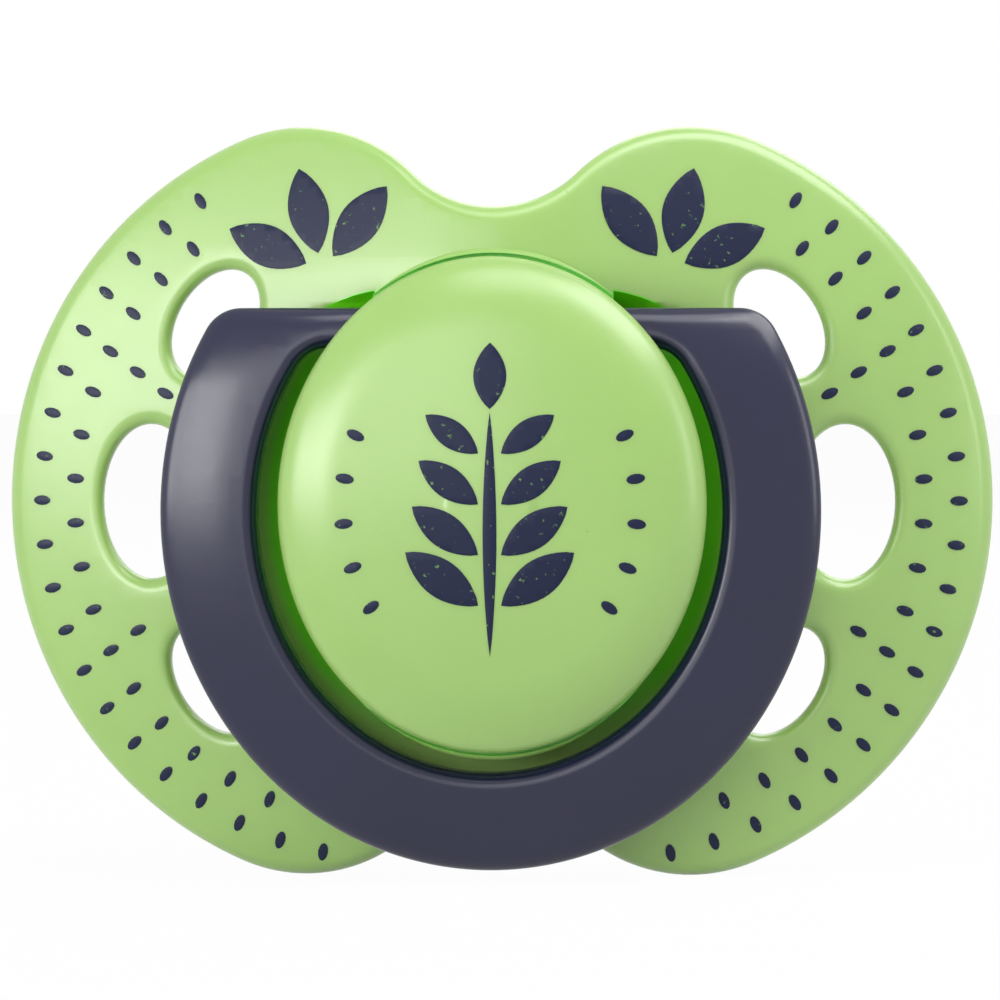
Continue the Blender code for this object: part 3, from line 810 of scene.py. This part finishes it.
def make_knob_print(ink):
    """A sprig with pairs of leaves, between two short rows of seed-shaped marks."""
    upright = math.pi / 2
    tip = STEM_FOOT + STEM_LENGTH + STEM_WIDTH / 5
    loops = [leaf((0.0, STEM_FOOT), STEM_LENGTH, STEM_WIDTH, upright)]
    loops.append(leaf((0.0, tip), TIP_LEAF_LENGTH, TIP_LEAF_WIDTH, upright))
    for side in (1, -1):
        for pair in range(LEAF_PAIRS):
            base = (side * LEAF_ROOT, LEAF_PAIR_START + pair * LEAF_PAIR_GAP)
            length = LEAF_LENGTH - pair * LEAF_SHRINK
            loops.append(leaf(base, length, length * LEAF_SLENDERNESS, upright - side * LEAF_LEAN))
        for index in range(KNOB_SEEDS):
            angle = KNOB_SEED_LOWEST + KNOB_SEED_SPREAD * index / (KNOB_SEEDS - 1)
            x = side * KNOB_SEED_WIDTH * math.cos(angle)
            loops.append(seed((x, KNOB_SEED_HEIGHT * math.sin(angle)), side * angle))
    finish_piece("knob_print", drape(loops, knob_surface, INK_CELL), ink, "soother")


def make_lobe_print(ink):
    """A fan of three leaves on each upper lobe."""
    loops = []
    for side in (1, -1):
        for lean in FAN_LEANS:
            turn = math.pi / 2 - side * math.radians(lean)
            x = side * FAN_OFFSET + FAN_STALK * math.cos(turn)
            z = FAN_HEIGHT + FAN_STALK * math.sin(turn)
            loops.append(leaf((x, z), FAN_LEAF_LENGTH, FAN_LEAF_WIDTH, turn))
    finish_piece("lobe_print", drape(loops, shield_surface, INK_CELL), ink, "soother")


def on_bare_shield(x, z):
    """Whether a seed here lies on the shield, away from the vents, the ring and the leaf fans."""
    for centre, half_length, half_width, turn in vents():
        along = (x - centre[0]) * math.cos(turn) + (z - centre[1]) * math.sin(turn)
        aside = (z - centre[1]) * math.cos(turn) - (x - centre[0]) * math.sin(turn)
        if math.hypot(along / (half_length + SEED_MARGIN), aside / (half_width + SEED_MARGIN)) < 1:
            return False
    half_width = RING_HALF_WIDTH + SEED_MARGIN
    half_height = RING_HALF_HEIGHT + SEED_MARGIN
    beside_ring = math.hypot(x / half_width, (z + RING_DROP) / half_height) > 1
    above_ring = z > PIVOT_Z + BAR_RADIUS + SEED_MARGIN
    off_fan = math.hypot(abs(x) - FAN_OFFSET, z - FAN_HEIGHT - 2 * FAN_STALK) > FAN_ROOM
    return (beside_ring or above_ring) and off_fan and abs(x) > FAN_OFFSET


def make_wing_print(ink):
    """Rows of seed-shaped marks that follow the rim of each wing."""
    loops = []
    for row in range(SEED_ROWS):
        radius = WING_RADIUS - SEED_ROW_GAP * (row + 1)
        count = int(2 * math.pi * radius / SEED_GAP)
        for index in range(count):
            angle = 2 * math.pi * (index + row % 2 / 2) / count
            for side in (1, -1):
                x = side * (WING_OFFSET + radius * math.cos(angle))
                z = radius * math.sin(angle)
                if x * side > 0 and on_bare_shield(x, z):
                    turn = math.atan2(math.sin(angle), side * math.cos(angle))
                    loops.append(seed((x, z), turn))
    finish_piece("wing_print", drape(loops, shield_surface, None), ink, "soother")


def make_stage(lowest):
    """A pale floor just under the object that reads as white and keeps a soft shadow."""
    bm = bmesh.new()
    bmesh.ops.create_grid(bm, x_segments=1, y_segments=1, size=FLOOR_HALF_SIZE)
    bmesh.ops.translate(bm, verts=bm.verts, vec=(0.0, 0.0, lowest))
    mesh = bpy.data.meshes.new("floor")
    bm.to_mesh(mesh)
    bm.free()
    floor = bpy.data.objects.new("floor", mesh)
    bpy.context.scene.collection.objects.link(floor)
    made = bpy.data.materials.new("white_paper_sweep")
    made.use_nodes = True
    tree = made.node_tree
    tree.nodes.clear()
    paper = node(tree, "ShaderNodeBsdfDiffuse", {"Color": linear("#d8d8d8")})
    white = node(tree, "ShaderNodeEmission", {"Color": (1.0, 1.0, 1.0, 1.0), "Strength": 1.0})
    share = joined(tree, seen_directly(tree), FLOOR_WHITE_SHARE, "MULTIPLY")
    mixed = node(
        tree,
        "ShaderNodeMixShader",
        {"Fac": share, 1: paper.outputs[0], 2: white.outputs[0]},
    )
    node(tree, "ShaderNodeOutputMaterial", {"Surface": mixed.outputs[0]})
    mesh.materials.append(made)


def seen_directly(tree):
    """1 for a camera, mirror or glass ray, which should see plain white."""
    path = node(tree, "ShaderNodeLightPath").outputs
    shine = joined(tree, path["Is Glossy Ray"], path["Is Transmission Ray"], "MAXIMUM")
    return joined(tree, path["Is Camera Ray"], shine, "MAXIMUM")


def make_world():
    """A white surround for rays that see it and a moderate even light for the rest."""
    world = bpy.data.worlds.new("studio")
    bpy.context.scene.world = world
    world.use_nodes = True
    tree = world.node_tree
    tree.nodes.clear()
    level = node(
        tree,
        "ShaderNodeMapRange",
        {"Value": seen_directly(tree), "To Min": AMBIENT_LEVEL, "To Max": 1.0},
    )
    light = node(
        tree,
        "ShaderNodeBackground",
        {"Color": (1.0, 1.0, 1.0, 1.0), "Strength": level.outputs["Result"]},
    )
    node(tree, "ShaderNodeOutputWorld", {"Surface": light.outputs[0]})


def direction(azimuth, elevation):
    """Unit vector from the object; azimuth 0 is ahead of its front, and positive is to the right."""
    level = math.cos(elevation)
    return Vector((math.sin(azimuth) * level, -math.cos(azimuth) * level, math.sin(elevation)))


def softbox(name, azimuth, elevation, width, height, power):
    """A rectangular lamp that faces the object, with its angles in degrees."""
    lamp = bpy.data.lights.new(name, "AREA")
    lamp.shape = "RECTANGLE"
    lamp.size = width
    lamp.size_y = height
    lamp.energy = power
    made = bpy.data.objects.new(name, lamp)
    away = direction(math.radians(azimuth), math.radians(elevation))
    made.location = away * LAMP_DISTANCE
    made.rotation_euler = (-away).to_track_quat("-Z", "Y").to_euler()
    bpy.context.scene.collection.objects.link(made)


def make_camera():
    camera = bpy.data.cameras.new("camera")
    camera.sensor_width = SENSOR
    camera.lens = SENSOR * RIM_WIDTH_IN_FRAME / RIM_WIDTH * CAMERA_DISTANCE
    camera.clip_start = CLIP_START
    made = bpy.data.objects.new("camera", camera)
    aim = Vector((0.0, RIM_DEPTH, 0.0))
    away = direction(CAMERA_AZIMUTH, CAMERA_ELEVATION)
    made.location = aim + away * CAMERA_DISTANCE
    made.rotation_euler = (-away).to_track_quat("-Z", "Y").to_euler()
    bpy.context.scene.collection.objects.link(made)
    bpy.context.scene.camera = made


def main():
    scene = bpy.context.scene
    scene.view_settings.view_transform = "Standard"
    make_camera()
    make_world()
    softbox("key_left", azimuth=-57, elevation=6, width=0.6, height=0.36, power=4.3)
    softbox("front_left", azimuth=-24, elevation=11, width=0.7, height=0.5, power=2.5)
    softbox("top", azimuth=20, elevation=66, width=0.6, height=0.4, power=2.6)
    softbox("fill_right", azimuth=80, elevation=50, width=0.6, height=0.4, power=4.2)
    softbox("rim_right", azimuth=80, elevation=8, width=0.12, height=0.5, power=0.8)
    softbox("back", azimuth=165, elevation=40, width=0.6, height=0.5, power=2.0)
    make_stage(CAD_BOX[0][2])

    green = moulded_polypropylene("moulded_green_polypropylene", "#9abf6b", "#91b761", 0.28, 0.35, 0.75)
    # The shield's green with painted shade in its groove, moat and hinge room
    green_with_painted_crevice_shade = green.copy()
    green_with_painted_crevice_shade.name = "moulded_green_polypropylene_painted_crevice_shade"
    paint_crevice_shade(green_with_painted_crevice_shade, "#62d010")
    navy = moulded_polypropylene("moulded_navy_polypropylene", "#1d1e3b", "#181933", 0.22, 0.0, 0.5)
    white = moulded_polypropylene("moulded_white_polypropylene", "#efeee9", "#e6e5df", 0.38, 0.2)
    ink = pad_printed_ink()
    make_shield(green_with_painted_crevice_shade)
    make_knob(green)
    make_ring(navy)
    make_teat(clear_silicone())
    make_knob_print(ink)
    make_lobe_print(ink)
    make_wing_print(ink)
    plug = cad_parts["teat_plug"]
    plug.data.materials.clear()
    plug.data.materials.append(white)


main()
